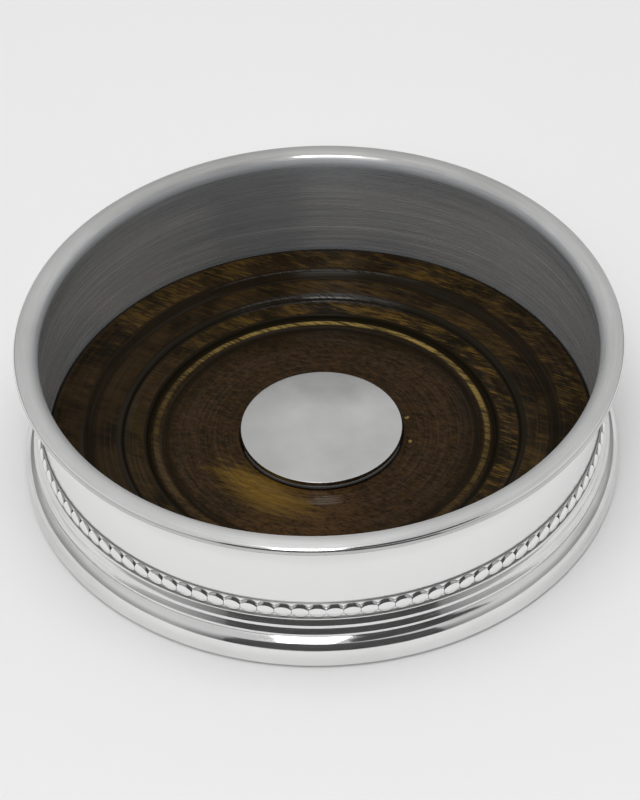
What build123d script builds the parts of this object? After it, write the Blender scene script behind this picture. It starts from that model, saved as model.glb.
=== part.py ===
"""Wine bottle coaster: a silver gallery round a turned wooden base.

A straight wall of silver sheet carries a flared rim, a wire of low round beads and a stepped foot
moulding, all soldered on. The dished wooden base sits on a flange inside the wall and is screwed to
it from below. A plain silver boss is pinned through the middle of the wood, and a disc of baize
covers the underside. Nothing moves.

Sizes are in millimetres. The origin is the middle of the underside, on the table, and +Z is up,
along the axis that every ring is turned about.
"""

import os
from math import acos, degrees, floor, pi, radians, sin, tan

from build123d import *

# Wall and well
well_radius = 59.0       # inside of the wall, round the bottle
sheet = 1.0              # silver sheet of the wall and the rim
height = 34.3            # table to the top of the rim
solder_gap = 0.05        # film of solder between round silver faces

# Flared rim
rim_roll = 2.8           # radius of the roll from the wall up to the crown
rim_crown = 3.2          # radius of the fall from the crown outwards
rim_spread = 4.1         # how far the lip stands out from the wall
lip_radius = 1.0         # rounded lip along the edge

# Beaded wire
bead_width = 3.38        # along the wire
bead_height = 3.87       # across the wire
bead_gap = 0.06          # least room between neighbouring beads
bead_rise = 0.71         # how far a bead stands out of its strip
bead_turn = 1.4          # angle of the wire about the axis, in degrees
strip_thick = 0.3        # strip that carries the beads

# Foot moulding, from the top ledge down
foot_height = 10.85      # table to the ledge under the beads
foot_spread = 4.3        # how far the plinth stands out from the wall
ledge_width = 0.7        # ledge from the wall to its edge
ledge_edge = 0.25        # height of that edge
upper_splay_run = 0.68
upper_splay_drop = 1.17
upper_fillet = 0.62      # upright between the two splays
lower_splay_run = 0.7
lower_splay_drop = 1.2
lower_fillet = 0.6       # upright under the lower splay
quirk = 0.25             # nick between the lower upright and the ovolo
plinth_height = 3.0      # table to the foot of the ovolo
plinth_round = 1.4       # rounding of the plinth's lower edge

# Underside
baize_thick = 0.9
baize_inset = 0.3        # room between the baize and the wall
flange_thick = 1.0
flange_width = 12.0

# Wooden base: widths run inwards from the wall, rises are above the middle field
wood_clearance = 0.1     # room between the wood and the metal round it
wood_thick = 3.5         # middle field to the underside
wood_edge = 0.35         # bevel where the wood meets the wall
outer_land_width = 7.6
outer_land_rise = 3.2
fall_width = 1.9         # splayed fall from the outer land
fall_quirk_width = 0.4   # fine groove between the fall and the middle land
fall_quirk_depth = 0.25  # below the middle land
middle_land_width = 4.9
middle_land_rise = 1.9
slope_width = 1.25       # rounded fall from the middle to the inner land
inner_land_width = 4.75
inner_land_rise = 0.75
land_round = 0.45        # turned edge of the outer land
nick_width = 0.5         # fine groove each side of the raised ring
nick_depth = 0.4         # below the middle field
ring_width = 3.4
ring_rise = 0.35         # crown of the raised ring above the middle field

# Boss and its pin
boss_radius = 17.85
boss_thick = 2.0
boss_foot = 0.55         # upright round the lower edge
boss_bevel_width = 0.35  # bevel above that upright
boss_bevel_height = 0.4
boss_round = 0.15        # rounded top edge
pin_radius = 1.5
pin_clearance = 0.1
recess_radius = 5.5      # sinking in the underside of the wood
recess_depth = 1.6
washer_radius = 4.8
washer_thick = 0.5
rivet_radius = 2.6
rivet_height = 0.8

# Screws through the flange
screw_count = 6
screw_radius = 1.0
screw_head_radius = 1.7
screw_head_angle = 90    # whole angle of the countersunk cone, in degrees
screw_length = 4.0
screw_point = 0.9        # tapered end
screw_clearance = 0.05

# Places that follow from these sizes
wall_out = well_radius + sheet
wall_top = height - rim_roll
flange_bottom = baize_thick
flange_top = flange_bottom + flange_thick
flange_out = well_radius - solder_gap
flange_in = flange_out - flange_width
wood_bottom = baize_thick
field_top = wood_bottom + wood_thick
wood_out = well_radius - wood_clearance
recess_top = wood_bottom + recess_depth
screw_circle = (flange_in + flange_out) / 2
screw_head_height = (screw_head_radius - screw_radius) / tan(radians(screw_head_angle / 2))
bead_seat_radius = wall_out + solder_gap + strip_thick
bead_count = floor(2 * pi * bead_seat_radius / (bead_width + bead_gap))


# Wall: a plain cylinder of sheet from the table to the rim
with BuildPart() as wall_band:
    with BuildSketch():
        Circle(wall_out)
        Circle(well_radius, mode=Mode.SUBTRACT)
    extrude(amount=wall_top)
wall_band.part.label = "wall_band"


# Rim: the sheet rolls outwards from the top of the wall, over a crown, down to a rounded lip
with BuildPart() as rim_moulding:
    crown_radius = well_radius + rim_roll
    crown_middle = height - rim_crown
    lip_arm = rim_crown - lip_radius
    lip_reach = wall_out + rim_spread - lip_radius - crown_radius
    lip_angle = degrees(acos(lip_reach / lip_arm))
    lip_lift = lip_arm * sin(radians(lip_angle))
    crown_sweep = 90 - lip_angle
    with BuildSketch(Plane.XZ):
        with BuildLine():
            CenterArc((crown_radius, wall_top), rim_roll, 90, 90)
            crown = CenterArc((crown_radius, crown_middle), rim_crown, lip_angle, crown_sweep)
            under_crown = CenterArc((crown_radius, crown_middle), rim_crown - sheet, lip_angle, crown_sweep)
            Line(crown @ 0, under_crown @ 0)
            CenterArc((crown_radius, wall_top), rim_roll - sheet, 90, 90)
            Line((wall_out, wall_top), (well_radius, wall_top))
        make_face()
        with Locations((crown_radius + lip_reach, crown_middle + lip_lift)):
            Circle(lip_radius)
    revolve(axis=Axis.Z)
rim_moulding.part.label = "rim_moulding"


# One bead: a low round cap, flat at the back and trimmed where its neighbours stand
with BuildPart() as bead:
    with BuildSketch(Plane.XZ):
        with BuildLine():
            back = Line((0, 0), (bead_height / 2, 0))
            TangentArc((0, bead_rise), back @ 1, tangent=(1, 0))
            Line((0, bead_rise), (0, 0))
        make_face()
    revolve(axis=Axis.Z)
    Box(bead_height, bead_width, 2 * bead_rise, mode=Mode.INTERSECT)


# Beaded wire: a thin strip on the ledge of the foot, with a flat for each bead on its face
with BuildPart() as bead_wire:
    with BuildSketch(Plane.XY.offset(foot_height)):
        RegularPolygon(bead_seat_radius, bead_count, major_radius=False, rotation=bead_turn)
        Circle(wall_out + solder_gap, mode=Mode.SUBTRACT)
    extrude(amount=bead_height)
    flats = bead_wire.faces().filter_by(GeomType.PLANE).filter_by(Axis.Z, reverse=True)
    seats = [Plane(flat.center(), x_dir=(0, 0, 1), z_dir=flat.normal_at()) for flat in flats]
    with Locations(*seats):
        add(bead.part)
bead_wire.part.label = "bead_wire"


# Foot: ledge, two splays with an upright under each, a quirk, an ovolo and a rounded plinth
with BuildPart() as foot_moulding:
    bore = wall_out + solder_gap
    plinth_out = wall_out + foot_spread
    with BuildSketch(Plane.XZ):
        with BuildLine():
            ledge = Line((bore, foot_height), (wall_out + ledge_width, foot_height))
            lip = Line(ledge @ 1, ledge @ 1 - Vector(0, ledge_edge))
            upper_splay = Line(lip @ 1, lip @ 1 + Vector(upper_splay_run, -upper_splay_drop))
            upper_upright = Line(upper_splay @ 1, upper_splay @ 1 - Vector(0, upper_fillet))
            lower_splay_foot = upper_upright @ 1 + Vector(lower_splay_run, -lower_splay_drop)
            lower_splay = Line(upper_upright @ 1, lower_splay_foot)
            lower_upright = Line(lower_splay @ 1, lower_splay @ 1 - Vector(0, lower_fillet))
            nick = Line(lower_upright @ 1, lower_upright @ 1 - Vector(quirk, 0))
            TangentArc((plinth_out, plinth_height), nick @ 1, tangent=(0, 1))
            Line((plinth_out, plinth_height), (plinth_out, plinth_round))
            CenterArc((plinth_out - plinth_round, plinth_round), plinth_round, -90, 90)
            sole = Line((plinth_out - plinth_round, 0), (bore, 0))
            Line(sole @ 1, ledge @ 0)
        make_face()
    revolve(axis=Axis.Z)
foot_moulding.part.label = "foot_moulding"


# Flange: flat ring inside the wall, drilled and countersunk from below for the screws
with BuildPart() as base_flange:
    with BuildSketch(Plane.XY.offset(flange_bottom)):
        Circle(flange_out)
        Circle(flange_in, mode=Mode.SUBTRACT)
    extrude(amount=flange_thick)
    with Locations(Plane(origin=(0, 0, flange_bottom), z_dir=(0, 0, -1))):
        with PolarLocations(screw_circle, screw_count):
            CounterSinkHole(
                radius=screw_radius + screw_clearance,
                counter_sink_radius=screw_head_radius + screw_clearance,
                depth=flange_thick,
                counter_sink_angle=screw_head_angle,
            )
base_flange.part.label = "base_flange"


# Wooden base: one turned profile, dished towards the middle and rebated underneath for the flange
with BuildPart() as wood_base:
    outer_land_in = wood_out - outer_land_width
    fall_in = outer_land_in - fall_width
    middle_land_out = fall_in - fall_quirk_width
    middle_land_in = middle_land_out - middle_land_width
    inner_land_out = middle_land_in - slope_width
    inner_land_in = inner_land_out - inner_land_width
    ring_out = inner_land_in - nick_width
    ring_in = ring_out - ring_width
    field_out = ring_in - nick_width
    outer_land_top = field_top + outer_land_rise
    middle_land_top = field_top + middle_land_rise
    inner_land_top = field_top + inner_land_rise
    nick_bottom = field_top - nick_depth
    rebate = flange_in - wood_clearance
    with BuildSketch(Plane.XZ):
        with BuildLine():
            Line((0, wood_bottom), (rebate, wood_bottom))
            Line((rebate, wood_bottom), (rebate, flange_top))
            Line((rebate, flange_top), (wood_out, flange_top))
            Line((wood_out, flange_top), (wood_out, outer_land_top - wood_edge))
            Line((wood_out, outer_land_top - wood_edge), (wood_out - wood_edge, outer_land_top))
            fall = FilletPolyline(
                (wood_out - wood_edge, outer_land_top),
                (outer_land_in, outer_land_top),
                (fall_in, middle_land_top - fall_quirk_depth),
                radius=land_round,
            )
            Line(fall @ 1, (middle_land_out, middle_land_top))
            Line((middle_land_out, middle_land_top), (middle_land_in, middle_land_top))
            TangentArc((middle_land_in, middle_land_top), (inner_land_out, inner_land_top), tangent=(-1, 0))
            Line((inner_land_out, inner_land_top), (inner_land_in, inner_land_top))
            Line((inner_land_in, inner_land_top), (ring_out, nick_bottom))
            ThreePointArc(
                (ring_out, nick_bottom),
                ((ring_out + ring_in) / 2, field_top + ring_rise),
                (ring_in, nick_bottom),
            )
            Line((ring_in, nick_bottom), (field_out, field_top))
            Line((field_out, field_top), (0, field_top))
            Line((0, field_top), (0, wood_bottom))
        make_face()
    revolve(axis=Axis.Z)
    with Locations(Plane(origin=(0, 0, wood_bottom), z_dir=(0, 0, -1))):
        CounterBoreHole(pin_radius + pin_clearance, recess_radius, recess_depth)
    with Locations(Plane(origin=(0, 0, flange_top), z_dir=(0, 0, -1))):
        with PolarLocations(screw_circle, screw_count):
            Hole(screw_radius + screw_clearance, screw_length - flange_thick + screw_clearance)
wood_base.part.label = "wood_base"


# Boss: plain disc on a narrow bevelled foot, flat on the wood
with BuildPart() as boss:
    boss_top = field_top + boss_thick
    bevel_bottom = field_top + boss_foot
    disc_radius = boss_radius - boss_bevel_width
    with BuildSketch(Plane.XZ):
        with BuildLine():
            Polyline(
                (0, field_top),
                (boss_radius, field_top),
                (boss_radius, bevel_bottom),
                (disc_radius, bevel_bottom + boss_bevel_height),
                (disc_radius, boss_top),
                (0, boss_top),
                close=True,
            )
        make_face()
    revolve(axis=Axis.Z)
    fillet(boss.edges().group_by(Axis.Z)[-1], boss_round)
boss.part.label = "boss"


# Washer: pressed up into the recess under the wood
with BuildPart() as pin_washer:
    with BuildSketch(Plane.XY.offset(recess_top - washer_thick)):
        Circle(washer_radius)
        Circle(pin_radius + pin_clearance, mode=Mode.SUBTRACT)
    extrude(amount=washer_thick)
pin_washer.part.label = "pin_washer"


# Pin: soldered to the back of the boss, and riveted over the washer with a domed head
with BuildPart() as boss_pin:
    rivet_top = recess_top - washer_thick
    with BuildSketch(Plane.XZ):
        with BuildLine():
            Line((0, field_top), (pin_radius, field_top))
            Line((pin_radius, field_top), (pin_radius, rivet_top))
            Line((pin_radius, rivet_top), (rivet_radius, rivet_top))
            TangentArc((0, rivet_top - rivet_height), (rivet_radius, rivet_top), tangent=(1, 0))
            Line((0, rivet_top - rivet_height), (0, field_top))
        make_face()
    revolve(axis=Axis.Z)
boss_pin.part.label = "boss_pin"


# Screws: countersunk heads flush with the flange, points up in the wood
with BuildPart() as flange_screws:
    with BuildSketch(Plane.XZ):
        with BuildLine():
            shank_top = flange_bottom + screw_length - screw_point
            Polyline(
                (0, flange_bottom),
                (screw_head_radius, flange_bottom),
                (screw_radius, flange_bottom + screw_head_height),
                (screw_radius, shank_top),
                (0, flange_bottom + screw_length),
                close=True,
            )
        make_face()
    screw = revolve(axis=Axis.Z, mode=Mode.PRIVATE)
    with PolarLocations(screw_circle, screw_count):
        add(screw)
flange_screws.part.label = "flange_screws"


# Baize: a soft disc glued under the flange and the wood, level with the foot
with BuildPart() as baize_pad:
    with BuildSketch():
        Circle(well_radius - baize_inset)
    extrude(amount=baize_thick)
baize_pad.part.label = "baize_pad"


os.makedirs("parts", exist_ok=True)
pieces = (
    wall_band,
    rim_moulding,
    bead_wire,
    foot_moulding,
    base_flange,
    wood_base,
    boss,
    pin_washer,
    boss_pin,
    flange_screws,
    baize_pad,
)
for piece in pieces:
    export_step(piece.part, f"parts/{piece.part.label}.step")
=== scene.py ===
"""Looks of a wine bottle coaster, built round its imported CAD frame.

The visible silver, wood and baize are fine turned surfaces that stand for the faceted CAD solids. The
fixings inside stay as CAD nodes with a finish of their own. Lengths are metres in the frame of the
CAD model: the origin is the middle of the underside, +Z is up and -Y faces the camera.
"""

import math

import bpy
import numpy as np
from bpy.props import FloatProperty, FloatVectorProperty, IntProperty, PointerProperty
from mathutils import Matrix, Vector


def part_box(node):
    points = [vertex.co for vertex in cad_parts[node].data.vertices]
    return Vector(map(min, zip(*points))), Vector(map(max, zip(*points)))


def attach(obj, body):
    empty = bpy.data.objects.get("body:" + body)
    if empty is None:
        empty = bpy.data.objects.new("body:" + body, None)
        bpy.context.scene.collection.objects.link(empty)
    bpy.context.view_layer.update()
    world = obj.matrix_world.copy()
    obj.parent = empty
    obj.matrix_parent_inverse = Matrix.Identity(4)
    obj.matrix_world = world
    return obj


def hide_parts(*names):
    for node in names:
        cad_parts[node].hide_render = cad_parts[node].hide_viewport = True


bl_info = {
    "name": "Wine Bottle Coaster",
    "version": (1, 0, 0),
    "blender": (4, 5, 0),
    "location": "View3D > Sidebar > Coaster",
    "description": "Silver wine bottle coaster with a turned wooden base",
    "category": "Object",
}

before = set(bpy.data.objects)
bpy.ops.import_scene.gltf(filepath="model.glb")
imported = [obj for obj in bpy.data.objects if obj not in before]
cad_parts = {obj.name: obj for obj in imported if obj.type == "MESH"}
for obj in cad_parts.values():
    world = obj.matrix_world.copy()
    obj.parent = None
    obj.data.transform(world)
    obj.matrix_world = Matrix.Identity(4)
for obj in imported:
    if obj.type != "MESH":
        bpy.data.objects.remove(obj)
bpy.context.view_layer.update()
MM = 0.001
BODY = "root"


# Places that come from the frame


def reach(node):
    """Outer radius of a turned node: half the longer side of its box."""
    low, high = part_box(node)
    return max(high.x - low.x, high.y - low.y) / 2


def bottom_of(node):
    """Height of a node's lowest point above the table."""
    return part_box(node)[0].z


def top_of(node):
    """Height of a node's highest point above the table."""
    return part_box(node)[1].z


# Sizes and colours that a user would change


def length(name, description, default):
    """A length in metres, shown in the scene's unit."""
    return FloatProperty(
        name=name,
        description=description,
        default=default,
        min=0.0,
        precision=5,
        subtype="DISTANCE",
        unit="LENGTH",
    )


def angle(name, description, degrees):
    """An angle, given here in degrees."""
    return FloatProperty(
        name=name,
        description=description,
        default=math.radians(degrees),
        subtype="ANGLE",
        unit="ROTATION",
    )


def colour(name, description, default):
    """A linear colour."""
    return FloatVectorProperty(
        name=name,
        description=description,
        default=default,
        size=3,
        min=0.0,
        max=1.0,
        subtype="COLOR",
    )


def share(name, description, default):
    """A number from 0 to 1."""
    return FloatProperty(
        name=name,
        description=description,
        default=default,
        min=0.0,
        max=1.0,
        subtype="FACTOR",
    )


def camera_length(name, description, default):
    """A length in millimetres, as cameras give it."""
    return FloatProperty(
        name=name,
        description=description,
        default=default,
        min=1.0,
        subtype="DISTANCE_CAMERA",
    )


class SilverSizes(bpy.types.PropertyGroup):
    """Sizes of the silver gallery: wall, rim, beaded wire, foot and boss."""

    sheet: length("Sheet", "Thickness of the silver sheet", 1.0 * MM)
    wall_radius: length("Wall radius", "Outside of the straight wall", reach("wall_band"))
    wall_top: length("Wall top", "Top of the straight wall", top_of("wall_band"))
    rim_radius: length("Rim radius", "Outside of the flared rim", reach("rim_moulding"))
    rim_top: length("Rim top", "Top of the flared rim", top_of("rim_moulding"))
    rim_crown: length("Rim crown", "Radius of the fall from the crown outwards", 3.2 * MM)
    lip_radius: length("Lip radius", "Rounded lip along the rim's edge", 1.0 * MM)
    bead_count: IntProperty(name="Beads", description="Beads round the wire", default=110, min=3)
    bead_turn: angle("Bead turn", "Angle of the beaded wire about the axis", 1.4)
    bead_width: length("Bead width", "Width of a bead along the wire", 3.38 * MM)
    bead_rise: length("Bead rise", "How far a bead stands out of its strip", 0.71 * MM)
    bead_dip: share("Bead dip", "How far a bead's ridge sinks towards its ends, of its rise", 0.18)
    bead_reach: length("Bead reach", "Outermost point of the beads", reach("bead_wire"))
    bead_bottom: length("Bead bottom", "Bottom of the beaded wire", bottom_of("bead_wire"))
    bead_top: length("Bead top", "Top of the beaded wire", top_of("bead_wire"))
    solder_gap: length("Solder gap", "Film of solder under the wire and the foot", 0.05 * MM)
    foot_radius: length("Foot radius", "Outside of the plinth", reach("foot_moulding"))
    foot_top: length("Foot top", "Ledge under the beads", top_of("foot_moulding"))
    ledge_width: length("Ledge", "Width of the ledge under the beads", 0.7 * MM)
    ledge_edge: length("Ledge edge", "Height of the ledge's edge", 0.25 * MM)
    upper_run: length("Upper run", "How far the upper splay spreads outwards", 0.68 * MM)
    upper_drop: length("Upper drop", "Height of the upper splay", 1.17 * MM)
    upper_fillet: length("Upper fillet", "Upright between the splays", 0.62 * MM)
    lower_run: length("Lower run", "How far the lower splay spreads outwards", 0.7 * MM)
    lower_drop: length("Lower drop", "Height of the lower splay", 1.2 * MM)
    lower_fillet: length("Lower fillet", "Upright under the lower splay", 0.6 * MM)
    quirk: length("Quirk", "Nick above the ovolo", 0.25 * MM)
    plinth: length("Plinth", "Height of the plinth under the ovolo", 3.0 * MM)
    plinth_round: length("Plinth round", "Rounding of the plinth's lower edge", 1.4 * MM)
    boss_radius: length("Boss radius", "Radius of the boss at its foot", reach("boss"))
    boss_bottom: length("Boss bottom", "Underside of the boss", bottom_of("boss"))
    boss_top: length("Boss top", "Top of the boss", top_of("boss"))
    boss_foot: length("Boss foot", "Upright round the lower edge of the boss", 0.55 * MM)
    bevel_width: length("Bevel width", "Width of the bevel above the boss's foot", 0.35 * MM)
    bevel_height: length("Bevel height", "Height of that bevel", 0.4 * MM)
    boss_round: length("Boss round", "Rounded upper edge of the boss", 0.15 * MM)
    wall_wear: length("Wall wear", "How far wear rounds the wall's edges", 0.02 * MM)
    rim_wear: length("Rim wear", "How far wear rounds the rim's edges", 0.03 * MM)
    bead_wear: length("Bead wear", "How far wear rounds the edges of the beads' strip", 0.03 * MM)
    foot_wear: length("Foot wear", "How far wear rounds the foot's edges", 0.05 * MM)
    boss_wear: length("Boss wear", "How far wear rounds the boss's edges", 0.04 * MM)


class WoodSizes(bpy.types.PropertyGroup):
    """Sizes of the turned wooden base: widths run inwards, rises are above the middle field."""

    radius: length("Wood radius", "Outside of the wooden base", reach("wood_base"))
    bottom: length("Wood bottom", "Underside of the wooden base", bottom_of("wood_base"))
    top: length("Wood top", "Top of the outer land", top_of("wood_base"))
    flange_top: length("Flange top", "Shelf that the wood rests on", top_of("base_flange"))
    rebate: length("Rebate", "Inside of the step for the flange", 46.85 * MM)
    edge: length("Edge bevel", "Bevel where the wood meets the wall", 0.35 * MM)
    outer_land: length("Outer land", "Width of the highest land", 7.6 * MM)
    outer_rise: length("Outer rise", "Outer land above the field", 3.2 * MM)
    fall: length("Fall", "Width of the splayed fall from the outer land", 1.9 * MM)
    quirk: length("Quirk", "Width of the fine groove under the fall", 0.4 * MM)
    quirk_depth: length("Quirk depth", "That groove below the middle land", 0.25 * MM)
    middle_land: length("Middle land", "Width of the middle land", 4.9 * MM)
    middle_rise: length("Middle rise", "Middle land above the field", 1.9 * MM)
    slope: length("Slope", "Width of the rounded fall", 1.25 * MM)
    inner_land: length("Inner land", "Width of the inner land", 4.75 * MM)
    inner_rise: length("Inner rise", "Inner land above the field", 0.75 * MM)
    nick: length("Nick", "Width of the fine grooves", 0.5 * MM)
    nick_depth: length("Nick depth", "Grooves below the field", 0.4 * MM)
    ring: length("Ring", "Width of the raised ring", 3.4 * MM)
    ring_rise: length("Ring rise", "Crown of the ring above the field", 0.35 * MM)
    wear: length("Wear", "How far wear rounds the edges of the wood", 0.2 * MM)


class CoasterFinishes(bpy.types.PropertyGroup):
    """Colours and gloss of the coaster's materials."""

    silver: colour("Silver", "Clean polished silver", (0.88, 0.88, 0.875))
    # Dulled silver, and also the colour of painted shade under the rim, on the foot's left and right sides
    # and on the boss towards the back and left.
    tarnish: colour("Tarnish", "Silver dulled in the corners", (0.42, 0.415, 0.408))
    rubbed: colour("Rubbed silver", "Silver scratched grey inside the wall", (0.465, 0.485, 0.51))
    # Old polish, and also the colour of painted shade in the foot's quirk, round each bead and on the
    # boss's edge and foot.
    dirt: colour("Dirt", "Old polish left in the beads", (0.1, 0.1, 0.095))
    bright: share("Bright finish", "Roughness of the polished mouldings", 0.05)
    satin: share("Satin finish", "Roughness of the rubbed and spun faces", 0.3)
    # Near-black wood for dark specks and grime, and also the colour of painted shade in the nicks, slope
    # and fall, at the wood's outer edge and round the field.
    wood_black: colour("Grime", "Grime and polish in the grooves", (0.0105, 0.0078, 0.0042))
    wood_dark: colour("Dark wood", "Body of the wood", (0.023, 0.0148, 0.0072))
    wood_red: colour("Red wood", "Reddish polish on the wood", (0.034, 0.019, 0.0092))
    wood_warm: colour("Warm wood", "Wood handled thin of its polish", (0.075, 0.039, 0.0145))
    wood_ochre: colour("Ochre wood", "Worn wood", (0.135, 0.079, 0.0145))
    wood_scuff: colour("Scuffed wood", "Polish scratched pale", (0.115, 0.105, 0.088))
    wood_gold: colour("Golden wood", "Wood rubbed bare", (0.25, 0.172, 0.05))
    brass: colour("Brass", "Fixings", (0.62, 0.43, 0.17))
    brass_dull: colour("Dull brass", "Fixings where they have darkened", (0.22, 0.14, 0.06))
    baize: colour("Baize", "Green cloth under the base", (0.012, 0.06, 0.028))
    baize_nap: colour("Baize nap", "Raised fibres of the cloth", (0.03, 0.115, 0.06))
    baize_matted: colour("Matted baize", "Cloth where its nap is flat", (0.01, 0.045, 0.022))


class StageSettings(bpy.types.PropertyGroup):
    """Camera, floor and light."""

    pitch: angle("Pitch", "Camera's downward tilt", 42.76)
    roll: angle("Roll", "Camera's turn about its own axis", -1.8516)
    lens: camera_length("Lens", "Focal length of the camera", 123.516)
    sensor: camera_length("Sensor", "Width of the camera's sensor", 36.0)
    distance: length("Distance", "Camera to the middle of the rim", 575.07 * MM)
    shift_right: length("Shift right", "Camera to the right of the rim's middle", 0.35 * MM)
    shift_down: length("Shift down", "Camera below the rim's middle, in the image", 14.85 * MM)
    floor_radius: length("Floor radius", "Reach of the floor round the coaster", 3.0)
    floor: colour("Floor", "Pale floor", (0.85, 0.85, 0.85))
    floor_shade: colour("Floor shade", "Cloudy unevenness of the floor", (0.78, 0.78, 0.78))
    card: colour("Card", "Dark cards that the silver mirrors", (0.06, 0.06, 0.06))
    card_shade: colour("Card shade", "Paler clouds on the cards", (0.1, 0.1, 0.1))
    horizon: colour("Horizon", "Dim light from low down", (0.13, 0.13, 0.13))
    low_sides: colour("Low sides", "Light from low on the left and right", (0.36, 0.36, 0.36))
    surroundings: colour("Surroundings", "Even light from above", (0.56, 0.56, 0.56))
    sides: colour("Sides", "Light from the upper left and right", (0.72, 0.72, 0.72))
    zenith: colour("Zenith", "Light from straight above", (0.85, 0.85, 0.85))


# Profiles and turned surfaces


def arc(centre, radius, start, end, steps=48):
    """Points on a circle about centre, from the start angle to the end angle in degrees."""
    turn = np.radians(np.linspace(start, end, steps + 1))
    return np.stack([centre[0] + radius * np.cos(turn), centre[1] + radius * np.sin(turn)], axis=1)


def tangent_arc(start, end, heading, steps=48):
    """Circle through two points that leaves the start along the heading, given as a unit vector.

    The centre is on the normal at the start, at half the chord squared over its part along the normal.
    """
    start = np.array(start)
    chord = np.array(end) - start
    normal = np.array([-heading[1], heading[0]])
    radius = chord @ chord / (2 * (chord @ normal))
    sweep = 2 * np.arctan2(chord @ normal, chord @ np.array(heading))
    t = np.linspace(0.0, sweep, steps + 1)[:, None]
    return start + radius * (np.sin(t) * np.array(heading) + (1 - np.cos(t)) * normal)


def through_arc(start, middle, end, steps=48):
    """Circle through three points, by its centre, from the start past the middle to the end."""
    points = np.array([start, middle, end])
    sides = 2 * (points[1:] - points[0])
    squares = (points[1:] ** 2).sum(axis=1) - (points[0] ** 2).sum()
    centre = np.linalg.solve(sides, squares)
    turns = np.unwrap(np.arctan2(points[:, 1] - centre[1], points[:, 0] - centre[0]))
    radius = np.hypot(*(points[0] - centre))
    return arc(centre, radius, np.degrees(turns[0]), np.degrees(turns[2]), steps)


def outline(*parts):
    """One line of points from single points and runs of points, in order."""
    return np.concatenate([np.atleast_2d(np.array(part, dtype=float)) for part in parts])


def worn(line, wear, closed, bend=7.0, stride=2.0 * MM):
    """Profile with its corners rubbed round.

    The line is cut into even steps, and each point becomes the mean of its neighbours with Gaussian
    weights of that wear. Points are then kept so that each step uses up a bend in degrees, a stride in
    metres or a share of both: bends get many points and straight runs few.
    """
    if closed:
        line = np.concatenate([line, line[:1]])
    sides = np.hypot(*np.diff(line, axis=0).T)
    along = np.concatenate([[0.0], np.cumsum(sides)])
    per_wear = 4
    span = 4 * per_wear
    count = int(np.ceil(along[-1] / (wear / per_wear)))
    even = np.linspace(0.0, along[-1], count + 1)
    fine = np.stack([np.interp(even, along, line[:, 0]), np.interp(even, along, line[:, 1])], axis=1)
    spread = np.arange(-span, span + 1)
    weights = np.exp(-0.5 * (spread / per_wear) ** 2)
    weights /= weights.sum()
    if closed:
        padded = np.pad(fine[:-1], ((span, span + 1), (0, 0)), mode="wrap")
    else:
        padded = np.pad(fine, ((span, span), (0, 0)), mode="reflect", reflect_type="odd")
    smooth = np.stack([np.convolve(padded[:, axis], weights, mode="valid") for axis in (0, 1)], axis=1)
    steps = np.diff(smooth, axis=0)
    heading = np.unwrap(np.arctan2(steps[:, 1], steps[:, 0]))
    turn = np.degrees(np.abs(np.gradient(heading)))
    cost = np.concatenate([[0.0], np.cumsum(np.hypot(*steps.T) / stride + turn / bend)])
    kept = np.linspace(0.0, cost[-1], int(np.ceil(cost[-1])) + 1)
    points = np.stack([np.interp(kept, cost, smooth[:, 0]), np.interp(kept, cost, smooth[:, 1])], axis=1)
    return points[:-1] if closed else points


def turned(profile, closed, segments=480):
    """Points and faces of a profile carried round the Z axis.

    A point (r, z) of the profile goes to (r cos a, r sin a, z) for each angle a. A closed profile makes
    a ring. An open one starts and ends on the axis, and its two ends become poles.
    """
    body = profile if closed else profile[1:-1]
    a = np.linspace(0.0, 2 * np.pi, segments, endpoint=False)
    grid = np.stack(
        [
            np.outer(body[:, 0], np.cos(a)),
            np.outer(body[:, 0], np.sin(a)),
            np.repeat(body[:, 1:], segments, axis=1),
        ],
        axis=2,
    )
    points = grid.reshape(-1, 3)
    index = np.arange(len(points)).reshape(len(body), segments)
    beside = np.roll(index, -1, axis=1)
    above = np.roll(index, -1, axis=0)
    across = np.roll(beside, -1, axis=0)
    quads = np.stack([index, beside, across, above], axis=2)
    if closed:
        return points, quads.reshape(-1, 4).tolist()
    faces = quads[:-1].reshape(-1, 4).tolist()
    low, high = len(points), len(points) + 1
    poles = [[0.0, 0.0, profile[0, 1]], [0.0, 0.0, profile[-1, 1]]]
    under = np.stack([np.full(segments, low), beside[0], index[0]], axis=1)
    over = np.stack([index[-1], beside[-1], np.full(segments, high)], axis=1)
    return np.concatenate([points, poles]), faces + under.tolist() + over.tolist()


def mesh_object(name, points, faces):
    """A smooth mesh object at the origin, with its place in its mesh."""
    mesh = bpy.data.meshes.new(name)
    mesh.from_pydata(points.tolist(), [], faces)
    mesh.validate()
    mesh.shade_smooth()
    made = bpy.data.objects.new(name, mesh)
    bpy.context.scene.collection.objects.link(made)
    return made


def add_piece(name, points, faces, finish, node, slot):
    """Puts a surface in the scene in the place of a CAD node, with its finish."""
    made = mesh_object(name, points, faces)
    made.data.materials.append(finish)
    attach(made, BODY)
    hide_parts(node)
    return made


def wall_profile(s):
    """Straight wall: a tall narrow oblong."""
    inside = s.wall_radius - s.sheet
    return outline(
        (inside, 0.0),
        (s.wall_radius, 0.0),
        (s.wall_radius, s.wall_top),
        (inside, s.wall_top),
    )


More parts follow.
